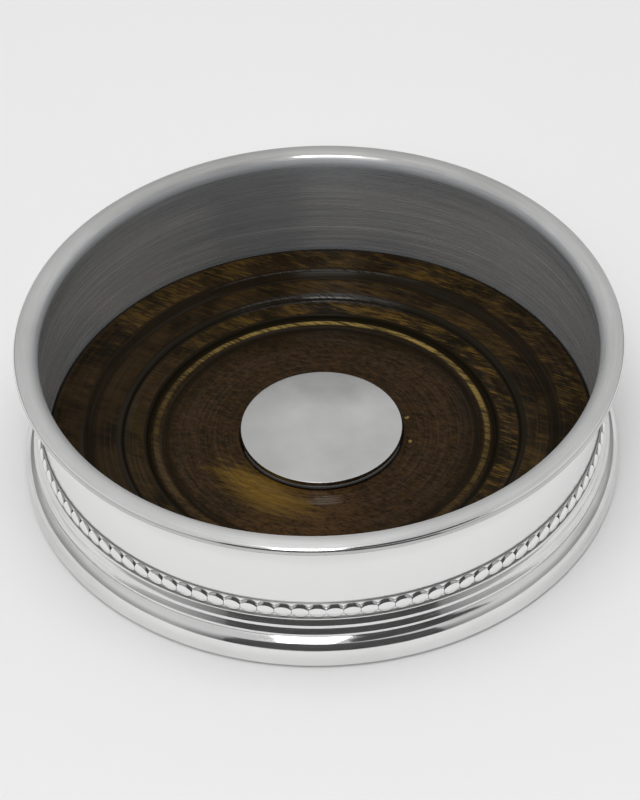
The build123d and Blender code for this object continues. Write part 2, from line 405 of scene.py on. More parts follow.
def rim_profile(s):
    """Flared rim: the sheet rolls outwards over a crown and falls to a round lip.

    The lip touches the crown's circle from inside, so its middle is one arm away from the crown's middle.
    The sheet's underside meets the lip at an angle that the law of cosines gives.
    """
    inside = s.wall_radius - s.sheet
    roll = s.rim_top - s.wall_top
    roll_middle = np.array([inside + roll, s.wall_top])
    crown_middle = np.array([inside + roll, s.rim_top - s.rim_crown])
    arm = s.rim_crown - s.lip_radius
    under = s.rim_crown - s.sheet
    lip_turn = math.acos((s.rim_radius - s.lip_radius - crown_middle[0]) / arm)
    lip_middle = crown_middle + arm * np.array([math.cos(lip_turn), math.sin(lip_turn)])
    meet_turn = lip_turn + math.acos((under**2 + arm**2 - s.lip_radius**2) / (2 * under * arm))
    meet = crown_middle + under * np.array([math.cos(meet_turn), math.sin(meet_turn)]) - lip_middle
    lip_start = math.degrees(math.atan2(meet[1], meet[0])) - 360
    lip_end = math.degrees(lip_turn)
    return outline(
        arc(roll_middle, roll - s.sheet, 180, 90),
        arc(crown_middle, under, 90, math.degrees(meet_turn)),
        arc(lip_middle, s.lip_radius, lip_start, lip_end),
        arc(crown_middle, s.rim_crown, lip_end, 90),
        arc(roll_middle, roll, 90, 180),
    )


def strip_profile(s):
    """Strip that carries the beads, against the wall."""
    inside = s.wall_radius + s.solder_gap
    outside = s.bead_reach - s.bead_rise
    return outline(
        (inside, s.bead_bottom),
        (outside, s.bead_bottom),
        (outside, s.bead_top),
        (inside, s.bead_top),
    )


def quirk_place(s):
    """Radius and height of the nick between the foot's lower upright and its ovolo."""
    drops = (s.ledge_edge, s.upper_drop, s.upper_fillet, s.lower_drop, s.lower_fillet)
    return s.wall_radius + s.ledge_width + s.upper_run + s.lower_run, s.foot_top - sum(drops)


def foot_profile(s):
    """Stepped foot: plinth, ovolo, quirk, upright, splay, upright, splay and ledge, from the table up."""
    bore = s.wall_radius + s.solder_gap
    ledge = s.wall_radius + s.ledge_width
    upper = ledge + s.upper_run
    lower, nick_z = quirk_place(s)
    lip_z = s.foot_top - s.ledge_edge
    upper_z = lip_z - s.upper_drop
    lower_start_z = upper_z - s.upper_fillet
    lower_z = lower_start_z - s.lower_drop
    return outline(
        (bore, 0.0),
        arc((s.foot_radius - s.plinth_round, s.plinth_round), s.plinth_round, -90, 0),
        tangent_arc((s.foot_radius, s.plinth), (lower - s.quirk, nick_z), (0.0, 1.0)),
        (lower, nick_z),
        (lower, lower_z),
        (upper, lower_start_z),
        (upper, upper_z),
        (ledge, lip_z),
        (ledge, s.foot_top),
        (bore, s.foot_top),
    )


def boss_profile(s):
    """Boss: a flat disc on a bevelled foot, from the axis below to the axis above."""
    disc = s.boss_radius - s.bevel_width
    bevel_z = s.boss_bottom + s.boss_foot
    return outline(
        (0.0, s.boss_bottom),
        (s.boss_radius, s.boss_bottom),
        (s.boss_radius, bevel_z),
        (disc, bevel_z + s.bevel_height),
        arc((disc - s.boss_round, s.boss_top - s.boss_round), s.boss_round, 0, 90),
        (0.0, s.boss_top),
    )


def wood_steps(w):
    """Radii of the base's steps, from the inside of the outer land to the outside of the field."""
    widths = (w.outer_land, w.fall, w.quirk, w.middle_land, w.slope, w.inner_land, w.nick, w.ring, w.nick)
    return w.radius - np.cumsum(widths)


def wood_profile(w):
    """Dished base: three lands with a splayed and a rounded fall, a ring between two nicks, and a field."""
    field = w.top - w.outer_rise
    middle = field + w.middle_rise
    inner = field + w.inner_rise
    nick = field - w.nick_depth
    outer_in, fall_in, middle_out, middle_in, inner_out, inner_in, *ring_edges = wood_steps(w)
    ring_out, ring_in, field_out = ring_edges
    return outline(
        (0.0, w.bottom),
        (w.rebate, w.bottom),
        (w.rebate, w.flange_top),
        (w.radius, w.flange_top),
        (w.radius, w.top - w.edge),
        (w.radius - w.edge, w.top),
        (outer_in, w.top),
        (fall_in, middle - w.quirk_depth),
        (middle_out, middle),
        tangent_arc((middle_in, middle), (inner_out, inner), (-1.0, 0.0)),
        (inner_in, inner),
        through_arc((ring_out, nick), ((ring_out + ring_in) / 2, field + w.ring_rise), (ring_in, nick)),
        (field_out, field),
        (0.0, field),
    )


def bead_caps(s, first, rows=14, columns=14):
    """Points and faces of all the beads, numbered from first: low round caps that stand on the strip.

    A bead's outline is a circle cut off at the bead's width. At a place a along the wire its half height
    H is what that circle leaves there, and its ridge E sinks a little with the square of a. Its section
    is the circle through the ridge and both edges, with a radius of half the sum of E and H squared over
    E. The outline is drawn in to a point behind the strip's face, so the bead is closed. Each point also
    gets its share of the half height.
    """
    base = (s.bead_top - s.bead_bottom) / 2
    middle_z = (s.bead_top + s.bead_bottom) / 2
    seat = s.bead_reach - s.bead_rise
    spacing = np.sin(np.linspace(-np.pi / 2, np.pi / 2, columns + 1))
    along = np.tile(s.bead_width / 2 * spacing, (rows + 1, 1))
    high = np.sqrt(base**2 - along**2)
    ridge = s.bead_rise * (1 - s.bead_dip * spacing**2)
    section = (ridge**2 + high**2) / (2 * ridge)
    share_up = np.sin(np.linspace(-np.pi / 2, np.pi / 2, rows + 1))[:, None] + np.zeros(columns + 1)
    rise = high * share_up
    out = np.sqrt(section**2 - rise**2) - section + ridge + seat
    back = [seat - s.solder_gap, 0.0, middle_z]
    cap = np.concatenate([np.stack([out, along, rise + middle_z], axis=2).reshape(-1, 3), [back]])
    edge = np.append(np.abs(share_up).ravel(), 1.0)
    index = np.arange(len(cap) - 1).reshape(rows + 1, columns + 1)
    corners = [index[:-1, :-1], index[:-1, 1:], index[1:, 1:], index[1:, :-1]]
    quads = np.stack(corners, axis=2).reshape(-1, 4)
    loop = np.concatenate([index[0, :-1], index[:-1, -1], index[-1, :0:-1], index[:0:-1, 0]])
    shut = np.stack([np.roll(loop, -1), loop, np.full(len(loop), len(cap) - 1)], axis=1)
    turns = 2 * np.pi * (np.arange(s.bead_count) + 0.5) / s.bead_count + s.bead_turn
    cos, sin = np.cos(turns)[:, None], np.sin(turns)[:, None]
    x = cap[None, :, 0] * cos - cap[None, :, 1] * sin
    y = cap[None, :, 0] * sin + cap[None, :, 1] * cos
    z = np.repeat(cap[None, :, 2], s.bead_count, axis=0)
    points = np.stack([x, y, z], axis=2).reshape(-1, 3)
    step = first + len(cap) * np.arange(s.bead_count)[:, None, None]
    faces = (quads[None] + step).reshape(-1, 4).tolist()
    faces += (shut[None] + step).reshape(-1, 3).tolist()
    return points, faces, np.tile(edge, s.bead_count)


def baize_surface(radius, thickness, rings=40, segments=360):
    """Points and faces of the cloth disc, a little uneven in its cut and its face.

    Radius runs out along the underside, round the edge and back along the top. The cut edge moves in
    and out by a sum of slow waves, and the underside is lifted by another, so it lies as cloth does.
    """
    half = thickness / 2
    cut_depth = 0.12 * MM
    lift_height = 0.08 * MM
    out = np.linspace(0.02, 0.98, rings) * radius
    under = np.stack([out, np.zeros(rings)], axis=1)
    over = np.stack([out[::-1], np.full(rings, thickness)], axis=1)
    edge = arc((radius - half, half), half, -90, 90, 12)
    line = outline((0.0, 0.0), under, edge, over, (0.0, thickness))
    points, faces = turned(line, False, segments)
    a = np.arctan2(points[:, 1], points[:, 0])
    r = np.hypot(points[:, 0], points[:, 1]) / radius
    cut = np.sin(5 * a + 0.7) + 0.6 * np.sin(11 * a + 2.1) + 0.4 * np.sin(23 * a) - 2.0
    points[:, :2] *= 1 + (cut_depth * cut / radius * r**6)[:, None]
    lift = 0.5 + 0.25 * np.sin(7 * r + 3 * a) + 0.25 * np.sin(13 * r - 5 * a + 1.0)
    points[:, 2] += np.where(points[:, 2] < half, lift_height * lift * np.clip(r * 4, 0.0, 1.0), 0.0)
    return points, faces


# Materials


class Value:
    """A socket of a material, so that sums are written as Python expressions."""

    def __init__(self, finish, socket):
        self.finish = finish
        self.socket = socket

    def math(self, operation, *inputs):
        """Math node on the given values, numbers or links."""
        return self.finish.node("ShaderNodeMath", {"operation": operation}, dict(enumerate(inputs)))

    def __add__(self, other):
        return self.math("ADD", self, other)

    def __sub__(self, other):
        return self.math("SUBTRACT", self, other)

    def __rsub__(self, other):
        return self.math("SUBTRACT", other, self)

    def __mul__(self, other):
        return self.math("MULTIPLY", self, other)

    def __truediv__(self, other):
        return self.math("DIVIDE", self, other)

    def __pow__(self, other):
        return self.math("POWER", self, other)

    __radd__ = __add__
    __rmul__ = __mul__


class Finish:
    """A procedural material: its nodes are made by expressions and end in one shader."""

    def __init__(self, name):
        self.material = bpy.data.materials.new(name)
        self.material.use_nodes = True
        self.tree = self.material.node_tree
        self.shader = next(n for n in self.tree.nodes if n.type == "BSDF_PRINCIPLED")

    def node(self, kind, settings=None, inputs=None, output=0):
        """Adds a node: its settings first, then the values or links of its sockets."""
        made = self.tree.nodes.new(kind)
        for key, value in (settings or {}).items():
            setattr(made, key, value)
        self.fill(made, inputs or {})
        return Value(self, made.outputs[output])

    def fill(self, made, inputs):
        """Sets or links a node's input sockets."""
        for key, value in inputs.items():
            if isinstance(value, Value):
                self.tree.links.new(value.socket, made.inputs[key])
            else:
                made.inputs[key].default_value = value

    def shade(self, **inputs):
        """Sets or links the shader's sockets, named with _ for a space."""
        self.fill(self.shader, {key.replace("_", " "): value for key, value in inputs.items()})
        return self.material

    def place(self):
        """Object coordinates in millimetres, as a vector and its three parts."""
        coords = self.node("ShaderNodeTexCoord", output="Object")
        scaled = self.node("ShaderNodeVectorMath", {"operation": "SCALE"}, {0: coords, "Scale": 1 / MM})
        parts = self.node("ShaderNodeSeparateXYZ", inputs={0: scaled})
        outputs = parts.socket.node.outputs
        return scaled, [Value(self, socket) for socket in outputs]

    def vector(self, x, y, z):
        """A vector from three values."""
        return self.node("ShaderNodeCombineXYZ", inputs={0: x, 1: y, 2: z})

    def root(self, value):
        """Square root."""
        return value.math("SQRT", value)

    def ramp(self, value, low, high):
        """0 below low, 1 above high, with an eased rise between; it falls where low is the greater."""
        return self.node(
            "ShaderNodeMapRange",
            {"interpolation_type": "SMOOTHSTEP"},
            {"Value": value, "From Min": low, "From Max": high},
        )

    def band(self, value, low, high, soft):
        """1 between low and high, falling to 0 over soft on each side."""
        return self.ramp(value, low - soft, low) * self.ramp(value, high + soft, high)

    def noise(self, vector, scale=1.0, detail=2.0, roughness=0.5):
        """Cloudy noise from about 0.2 to 0.8, with a mean of a half."""
        return self.node(
            "ShaderNodeTexNoise",
            inputs={"Vector": vector, "Scale": scale, "Detail": detail, "Roughness": roughness},
        )

    def blend(self, factor, first, second):
        """Mixes two colours; one given as numbers is a linear colour."""
        colours = [c if isinstance(c, Value) else (*c, 1.0) for c in (first, second)]
        return self.node(
            "ShaderNodeMix",
            {"data_type": "RGBA"},
            {0: factor, 6: colours[0], 7: colours[1]},
            output=2,
        )

    def bump(self, height, distance):
        """Bump from a height, where 1 stands that far out in metres."""
        return self.node("ShaderNodeBump", inputs={"Height": height, "Distance": distance})

    def oval(self, along, across, half_length, half_width):
        """Distance from the middle of an oval, which is 1 on its edge and blunt in the middle."""
        along, across = along / half_length, across / half_width
        blunt = 0.01
        return self.root(along * along + across * across + blunt)


class Sky(Finish):
    """The world's nodes, made in the same way and ending in its background."""

    def __init__(self, name):
        self.world = bpy.data.worlds.new(name)
        self.world.use_nodes = True
        self.tree = self.world.node_tree
        self.shader = next(n for n in self.tree.nodes if n.type == "BACKGROUND")


def round_axis(finish, x, y):
    """Radius from the axis, and the unit direction from it, in which a pattern has no seam."""
    off_axis = 1e-4
    r = finish.root(x * x + y * y + off_axis)
    return r, x / r, y / r


def leaning(x, y, degrees):
    """Coordinates along and across a line that leans by that angle from +X."""
    cos, sin = math.cos(math.radians(degrees)), math.sin(math.radians(degrees))
    return cos * x + sin * y, cos * y - sin * x


def made_once(make, *inputs):
    """The finish of that function's name, made at its first use."""
    return bpy.data.materials.get(make.__name__) or make(*inputs)


def spun_lines(finish, way_x, way_y, across, long, fine):
    """Noise drawn out round the axis: long is the lines' length and fine their width, in millimetres.

    The length holds at the radius of the wall.
    """
    wall = 60.0
    turn = wall / long
    return finish.noise(finish.vector(way_x * turn, way_y * turn, across / fine), 1.0, 3.0, 0.6)


def bright_silver(f, sizes):
    """Polished silver of the mouldings: fine rub marks round the axis, a duller, rougher ledge under the
    beads, and painted shade in the quirk and on the left and right sides.
    """
    s = Finish("bright_silver")
    scaled, (x, y, z) = s.place()
    r, way_x, way_y = round_axis(s, x, y)
    ledge_z = sizes.foot_top / MM
    quirk_r, quirk_z = (place / MM for place in quirk_place(sizes))
    rub = spun_lines(s, way_x, way_y, r + z, 14.0, 0.12)
    cloud = s.noise(scaled, 0.12, 3.0)
    ledge = s.ramp(z, ledge_z - 0.15, ledge_z - 0.05)
    # Painted shade: the nick above the ovolo is darkened as if shadowed.
    quirk = s.band(z, quirk_z - 0.17, quirk_z - 0.01, 0.06) * s.ramp(r, quirk_r - 0.02, quirk_r - 0.08)
    # Painted shade: the foot is darker on its left and right sides, broken up by the real rub marks.
    dulling_and_shade = s.ramp(way_x * way_x, 0.3, 0.8) * (0.12 + 0.3 * s.ramp(rub, 0.35, 0.65))
    tone = s.blend(ledge + 0.06 + dulling_and_shade + (cloud - 0.5) * 0.25, f.silver, f.tarnish)
    tone = s.blend(0.85 * quirk, tone, f.dirt)
    rough = f.bright + 0.03 * cloud + 0.12 * s.ramp(rub, 0.4, 0.7) + 0.45 * ledge
    return s.shade(
        Base_Color=tone,
        Metallic=1.0,
        Roughness=rough,
        Normal=s.bump(rub, 0.004 * MM),
    )


def bead_silver(f, sizes):
    """Polished silver of the beads, with old polish and painted shade round the foot of each one, heaviest
    on its upper side.
    """
    s = Finish("bead_silver")
    scaled, (_, _, z) = s.place()
    low, high = sizes.bead_bottom / MM, sizes.bead_top / MM
    edge = s.node("ShaderNodeAttribute", {"attribute_name": "edge"}, output="Fac")
    cloud = s.noise(scaled, 0.4, 3.0)
    # Painted shade, with some old polish: each bead's outline is darkened, most of all along its upper
    # side.
    dirt = s.ramp(edge + 0.1 * (cloud - 0.5), 0.9, 1.0) * (0.3 + 0.7 * s.ramp(z, low + 0.75, low + 1.75))
    solder = s.ramp(z, high - 0.17, high - 0.04)
    return s.shade(
        Base_Color=s.blend(0.7 * solder, s.blend(0.9 * dirt, f.silver, f.dirt), f.tarnish),
        Metallic=1.0,
        Roughness=f.bright + 0.04 * cloud + 0.3 * dirt + 0.45 * solder,
        Normal=s.bump(s.noise(scaled, 3.0, 2.0), 0.004 * MM),
    )


def wall_silver(f, sizes):
    """Wall: polished outside, spun and scratched to a satin inside; painted shade under the rim, painted
    light on the inside's left and right, a painted dark reflection at the back left and a painted light
    line round the back.
    """
    s = Finish("wall_silver")
    scaled, (x, y, z) = s.place()
    r, way_x, way_y = round_axis(s, x, y)
    well, top = (sizes.wall_radius - sizes.sheet) / MM, sizes.wall_top / MM
    painted_line_z = 13.95
    inside = s.ramp(r, well + 0.7, well + 0.3)
    cool = s.blend(inside, f.tarnish, f.rubbed)
    fine = spun_lines(s, way_x, way_y, z, 22.0, 0.09)
    broad = spun_lines(s, way_x, way_y, z, 45.0, 0.5)
    elsewhere = z + 40.0
    scratch = s.ramp(spun_lines(s, way_x, way_y, elsewhere, 60.0, 0.22), 0.62, 0.74)
    # Painted reflection: a faint light line round the back of the inside.
    painted_line = s.band(z, painted_line_z - 0.04, painted_line_z + 0.04, 0.05) * s.ramp(way_y, 0.7, 1.0)
    painted_line = painted_line * (0.4 + 0.6 * s.ramp(broad, 0.35, 0.6))
    cloud = s.noise(scaled, 0.06, 3.0)
    # Painted shade: the wall darkens towards its top, under the rim.
    under_rim_shade = s.ramp(z, top - 7.5, top - 1.5) * 0.3
    lines = s.ramp(broad + 0.5 * (fine - 0.5), 0.34, 0.66)
    # Painted light: the inside is lighter on the left and right.
    painted_light_sides = 0.25 * s.ramp(way_x * way_x, 0.1, 0.6)
    # Painted reflection: a soft dark patch on the inside, at the back and left.
    painted_dark_patch = 0.3 * s.band(way_x, -0.32, -0.12, 0.14) * s.ramp(way_y, 0.3, 0.8)
    dulling_and_shade = under_rim_shade + inside * (0.55 + 0.45 * lines + painted_dark_patch - painted_light_sides - 0.6 * scratch - 1.8 * painted_line)
    tone = s.blend(dulling_and_shade + (cloud - 0.5) * 0.1, f.silver, cool)
    rubbed = 0.12 + 0.14 * s.ramp(fine, 0.4, 0.65) + 0.25 * scratch + 0.2 * painted_line
    height = 0.5 * fine + 0.5 * broad + 0.8 * scratch
    return s.shade(
        Base_Color=tone,
        Metallic=1.0 - 0.34 * inside,
        Roughness=0.09 + 0.03 * fine + inside * rubbed,
        Anisotropic=0.8,
        Anisotropic_Rotation=0.25,
        Normal=s.bump(height * (0.03 + inside), 0.02 * MM),
    )


def satin_silver(f, sizes):
    """Rim: satin silver with fine rings of wear, a polished streak on the roll at the back, painted shade
    on the crown towards the back and painted shade under the lip.
    """
    s = Finish("satin_silver")
    scaled, (x, y, z) = s.place()
    r, way_x, way_y = round_axis(s, x, y)
    across = r - z
    fine = spun_lines(s, way_x, way_y, across, 12.0, 0.12)
    broad = spun_lines(s, way_x, way_y, across, 40.0, 0.7)
    cloud = s.noise(scaled, 0.09, 4.0)
    well = (sizes.wall_radius - sizes.sheet) / MM
    lip, top = sizes.rim_radius / MM, sizes.rim_top / MM
    inner = s.ramp(r, well + 0.7, well + 0.55)
    back = s.ramp(way_y, 0.955, 0.985) * s.ramp(way_x, -0.1, -0.05)
    polished = s.band(r, well + 0.88, well + 1.05, 0.1) * back
    crown = s.ramp(r, lip - 0.42, lip - 0.62) * (1.0 - polished)
    # Painted shade: the underside of the lip is darkened.
    under = s.ramp(z, top - 0.94, top - 1.1) * s.ramp(r, lip - 0.9, lip - 0.7)
    lines = s.ramp(0.6 * fine + 0.4 * broad, 0.35, 0.65)
    # The spun lines darken the crown for real; the darkening towards the back and under the lip is painted
    # shade.
    dulling_and_shade = 0.16 * lines * crown + 0.45 * s.ramp(way_y, 0.3, 1.0) * crown + 0.7 * under
    tone = s.blend(dulling_and_shade + (cloud - 0.5) * 0.3, f.silver, f.tarnish)
    tone = s.blend(inner * (0.5 + 0.5 * lines), tone, f.rubbed)
    brushed = f.satin + 0.14 + 0.3 * (fine - 0.5) + 0.3 * (broad - 0.5)
    rough = 0.08 + 0.04 * cloud + crown * brushed
    return s.shade(
        Base_Color=tone,
        Metallic=1.0 - 0.34 * inner,
        Roughness=rough,
        Anisotropic=0.6,
        Anisotropic_Rotation=0.25,
        Normal=s.bump((0.6 * fine + 0.4 * broad) * (0.12 + crown), 0.012 * MM),
    )


def boss_silver(f, sizes):
    """Boss: plain rubbed silver, cloudy, with faint marks of handling; painted reflection darkens it
    towards the back and the left, and painted shade darkens its edge and foot.
    """
    s = Finish("boss_silver")
    scaled, (x, y, z) = s.place()
    r, _, _ = round_axis(s, x, y)
    out, low, top = sizes.boss_radius / MM, sizes.boss_bottom / MM, sizes.boss_top / MM
    cloud = s.noise(scaled, 0.07, 4.0, 0.55)
    grain = s.noise(scaled, 9.0, 2.0)
    # Painted shade: the edge below the top and the foot of the boss are darkened, standing in for the
    # shadow round it.
    side = s.ramp(z, top - 0.1, top - 0.2)
    foot = s.ramp(z, low + 0.87, low + 0.77) * s.ramp(r, out - 0.65, out - 0.5)
    # Painted reflection: the boss darkens towards the back and the left.
    rear = s.ramp(y + 8.0 * (cloud - 0.5), 2.0, 19.0)
    left = s.ramp(x + 8.0 * (cloud - 0.5), -4.0, -18.0)
    tone = s.blend(0.24 + 0.4 * rear + 0.28 * left + (cloud - 0.5) * 0.8, f.silver, f.tarnish)
    tone = s.blend(0.6 * side + 0.38 * foot, tone, f.dirt)
    rough = 0.3 + 0.12 * (cloud - 0.5) + 0.05 * grain - 0.22 * side
    return s.shade(
        Base_Color=tone,
        Metallic=1.0,
        Roughness=rough,
        Normal=s.bump(grain, 0.002 * MM),
    )


def dark_wood(f, w):
    """Turned wood: dark and grimy, with painted shade, in the falls and nicks, with worn golden grain where
    it stands up.

    The grain leans across the base. A worn patch, a pale scuff and two chips lie round the boss.
    """
    s = Finish("dark_wood")
    scaled, (x, y, z) = s.place()
    r, way_x, way_y = round_axis(s, x, y)
    outer_in, fall_in, middle_out, middle_in, inner_out, inner_in, *ring_edges = wood_steps(w) / MM
    ring_out, ring_in, field_out = ring_edges
    ring_middle = (ring_out + ring_in) / 2
    wood_edge = w.radius / MM
    grain_lean, patch_lean = -28.0, -41.0
    patch_x, patch_y = -13.0, -17.0
    scuff_x, scuff_y = 0.4, -20.8
    chip_places = ((18.75, 4.0), (18.95, -3.7))
    u, v = leaning(x, y, grain_lean)
    blotch = s.noise(scaled, 0.1, 3.0, 0.55)
    streak = s.noise(s.vector(u * 0.1, v * 0.7, z * 0.3), 1.0, 4.0, 0.6)
    fibre = s.noise(s.vector(u * 0.3, v * 2.8, z * 1.2), 1.0, 3.0, 0.65)
    rings = s.noise(s.vector(way_x * 1.2, way_y * 1.2, r * 2.0), 1.0, 4.0, 0.6)
    figure = s.noise(s.vector(u * 0.04, v * 0.2, z * 0.2), 1.0, 3.0)
    speck = s.noise(s.vector(u * 0.7, v * 1.5, z), 1.0, 5.0, 0.7)
    nicks = s.band(r, field_out - 0.3, ring_in + 0.1, 0.7) * 0.7
    nicks = nicks + s.band(r, ring_out - 0.2, inner_in + 0.2, 0.6)
    slope = s.band(r, inner_out - 0.05, middle_in - 0.1, 0.6) * 0.9
    fall = s.band(r, fall_in + 0.4, outer_in, 0.9)
    ring = s.band(r, ring_middle - 0.3, ring_middle + 0.3, 0.5)
    brink = s.band(r, outer_in - 0.25, outer_in, 0.1)
    glint = (slope + brink) * s.ramp(way_y, 0.86, 0.97)
    rear = s.ramp(way_x * 0.35 + way_y * 0.94, -1.0, 1.0)
    front = s.ramp(way_y * 0.98 + way_x * 0.2, -0.8, -1.0)
    grain = s.ramp(0.35 * streak + 0.65 * fibre + 0.3 * (blotch - 0.5), 0.48, 0.62)
    mottle = s.ramp(0.3 * figure + 0.35 * rings + 0.35 * fibre, 0.41, 0.59)
    field = s.blend(mottle, f.wood_dark, f.wood_red)
    field = s.blend(0.45 * front * (0.4 + mottle), field, f.wood_warm)
    field = s.blend(0.75 * s.ramp(speck, 0.5, 0.64), field, f.wood_black)
    field = s.blend(0.4 * s.ramp(speck, 0.5, 0.36), field, f.wood_warm)
    # Painted shade: the field darkens towards its edge by the ring, most of all at the back.
    field_edge_shade = s.ramp(r + 8.0 * (blotch - 0.5), field_out - 5.7, field_out + 0.3)
    field = s.blend(field_edge_shade * (0.1 + 0.6 * rear), field, f.wood_black)
    patch = s.oval(*leaning(x - patch_x, y - patch_y, patch_lean), 12.25, 4.47)
    worn_patch = s.ramp(patch + 1.6 * (streak - 0.5) + 2.2 * (fibre - 0.5), 1.35, 0.4)
    strokes = 0.5 + 0.6 * s.ramp(fibre + 0.4 * (rings - 0.5), 0.4, 0.6)
    field = s.blend(worn_patch * strokes, field, f.wood_ochre)
    scuff = s.oval(x - scuff_x, y - scuff_y, 3.46, 1.55) + 1.6 * (fibre - 0.5)
    field = s.blend(s.ramp(scuff, 1.3, 0.3) * s.ramp(rings, 0.38, 0.6) * 0.7, field, f.wood_scuff)
    lands = s.blend(s.ramp(blotch + 0.4 * (streak - 0.5), 0.55, 0.37), f.wood_dark, f.wood_black)
    rear_right = s.ramp(way_x + 0.6 * way_y, -0.6, 0.9)
    bare = (
        s.ramp(r, outer_in - 0.1, outer_in + 1.3) * (0.2 + 0.3 * s.ramp(way_y + 0.4 * way_x, -0.6, 0.6))
        + s.band(r, middle_in + 0.5, middle_out - 0.2, 0.6) * (0.06 + 0.2 * rear_right)
        + s.band(r, inner_in + 0.7, inner_out - 0.55, 0.5) * (0.25 + 0.45 * rear_right)
    )
    lands = s.blend(0.5 * mottle * s.ramp(figure, 0.4, 0.6), lands, f.wood_red)
    bare = bare * (0.4 + 0.6 * s.ramp(way_x, -0.98, -0.72))
    lands = s.blend(grain * bare, lands, f.wood_ochre)
    tone = s.blend(s.ramp(r, ring_out - 0.6, inner_in + 0.4), field, lands)
    # Grimy dark wood, and painted shade in the nicks, the slope, the fall and at the wood's outer edge.
    grime_and_shade = nicks + slope + 0.75 * fall + s.ramp(r, wood_edge - 1.0, wood_edge - 0.5)
    tone = s.blend(grime_and_shade * (0.8 + 0.4 * streak), tone, f.wood_black)
    broken = s.ramp(fibre + 0.8 * (streak - 0.5), 0.36, 0.6)
    gold = ring * (0.12 + 0.88 * rear**3.0) * (0.15 + 0.85 * broken)
    for chip_x, chip_y in chip_places:
        aside, beyond = x - chip_x, y - chip_y
        chip = s.ramp(aside * aside + beyond * beyond + 1.2 * (speck - 0.5), 0.3, 0.12)
        gold = gold + 0.8 * chip
    tone = s.blend(gold, tone, f.wood_gold)
    coat = 0.05 + 0.2 * s.ramp(rings, 0.45, 0.65) + 0.1 * slope + glint * s.ramp(fibre, 0.3, 0.6)
    height = 0.5 * fibre + 0.5 * rings + s.ramp(r, outer_in - 0.3, outer_in - 0.05)
    return s.shade(
        Base_Color=tone,
        Roughness=0.5 + 0.2 * (streak - 0.5),
        Specular_IOR_Level=0.0,
        Coat_Weight=coat,
        Coat_Roughness=0.15,
        Normal=s.bump(height, 0.03 * MM),
    )


def aged_brass(f):
    """Brass of the hidden fixings, a little dulled."""
    s = Finish("aged_brass")
    scaled, _ = s.place()
    cloud = s.noise(scaled, 0.6, 4.0)
    tone = s.blend(s.ramp(cloud, 0.4, 0.7) * 0.5, f.brass, f.brass_dull)
    return s.shade(
        Base_Color=tone,
        Metallic=1.0,
        Roughness=0.28 + 0.2 * cloud,
        Normal=s.bump(s.noise(scaled, 6.0, 2.0), 0.005 * MM),
    )


def green_baize(f):
    """Baize: matted wool with a soft nap and small lumps."""
    s = Finish("green_baize")
    scaled, (x, y, z) = s.place()
    nap = s.noise(scaled, 5.0, 4.0, 0.7)
    matted = s.noise(scaled, 0.5, 4.0, 0.6)
    fuzz = s.noise(s.vector(x * 3.0, y * 9.0, z * 3.0), 1.0, 3.0, 0.7)
    light = s.blend(s.ramp(nap + fuzz - 0.5, 0.3, 0.8), f.baize, f.baize_nap)
    tone = s.blend(s.ramp(matted, 0.4, 0.7) * 0.5, light, f.baize_matted)
    return s.shade(
        Base_Color=tone,
        Roughness=0.95,
        Normal=s.bump(0.6 * nap + 0.4 * fuzz, 0.12 * MM),
    )


def pale_floor(stage):
    """Floor: matt paper, with the faintest unevenness."""
    s = Finish("pale_floor")
    scaled, _ = s.place()
    soft = s.noise(scaled, 0.02, 3.0)
    tone = s.blend(soft * 0.1, stage.floor, stage.floor_shade)
    return s.shade(Base_Color=tone, Roughness=0.9)


def dark_card(stage):
    """Matt black card that the silver mirrors."""
    s = Finish("dark_card")
    scaled, _ = s.place()
    tone = s.blend(s.noise(scaled, 0.01, 2.0), stage.card, stage.card_shade)
    return s.shade(Base_Color=tone, Roughness=0.9)


# Operators


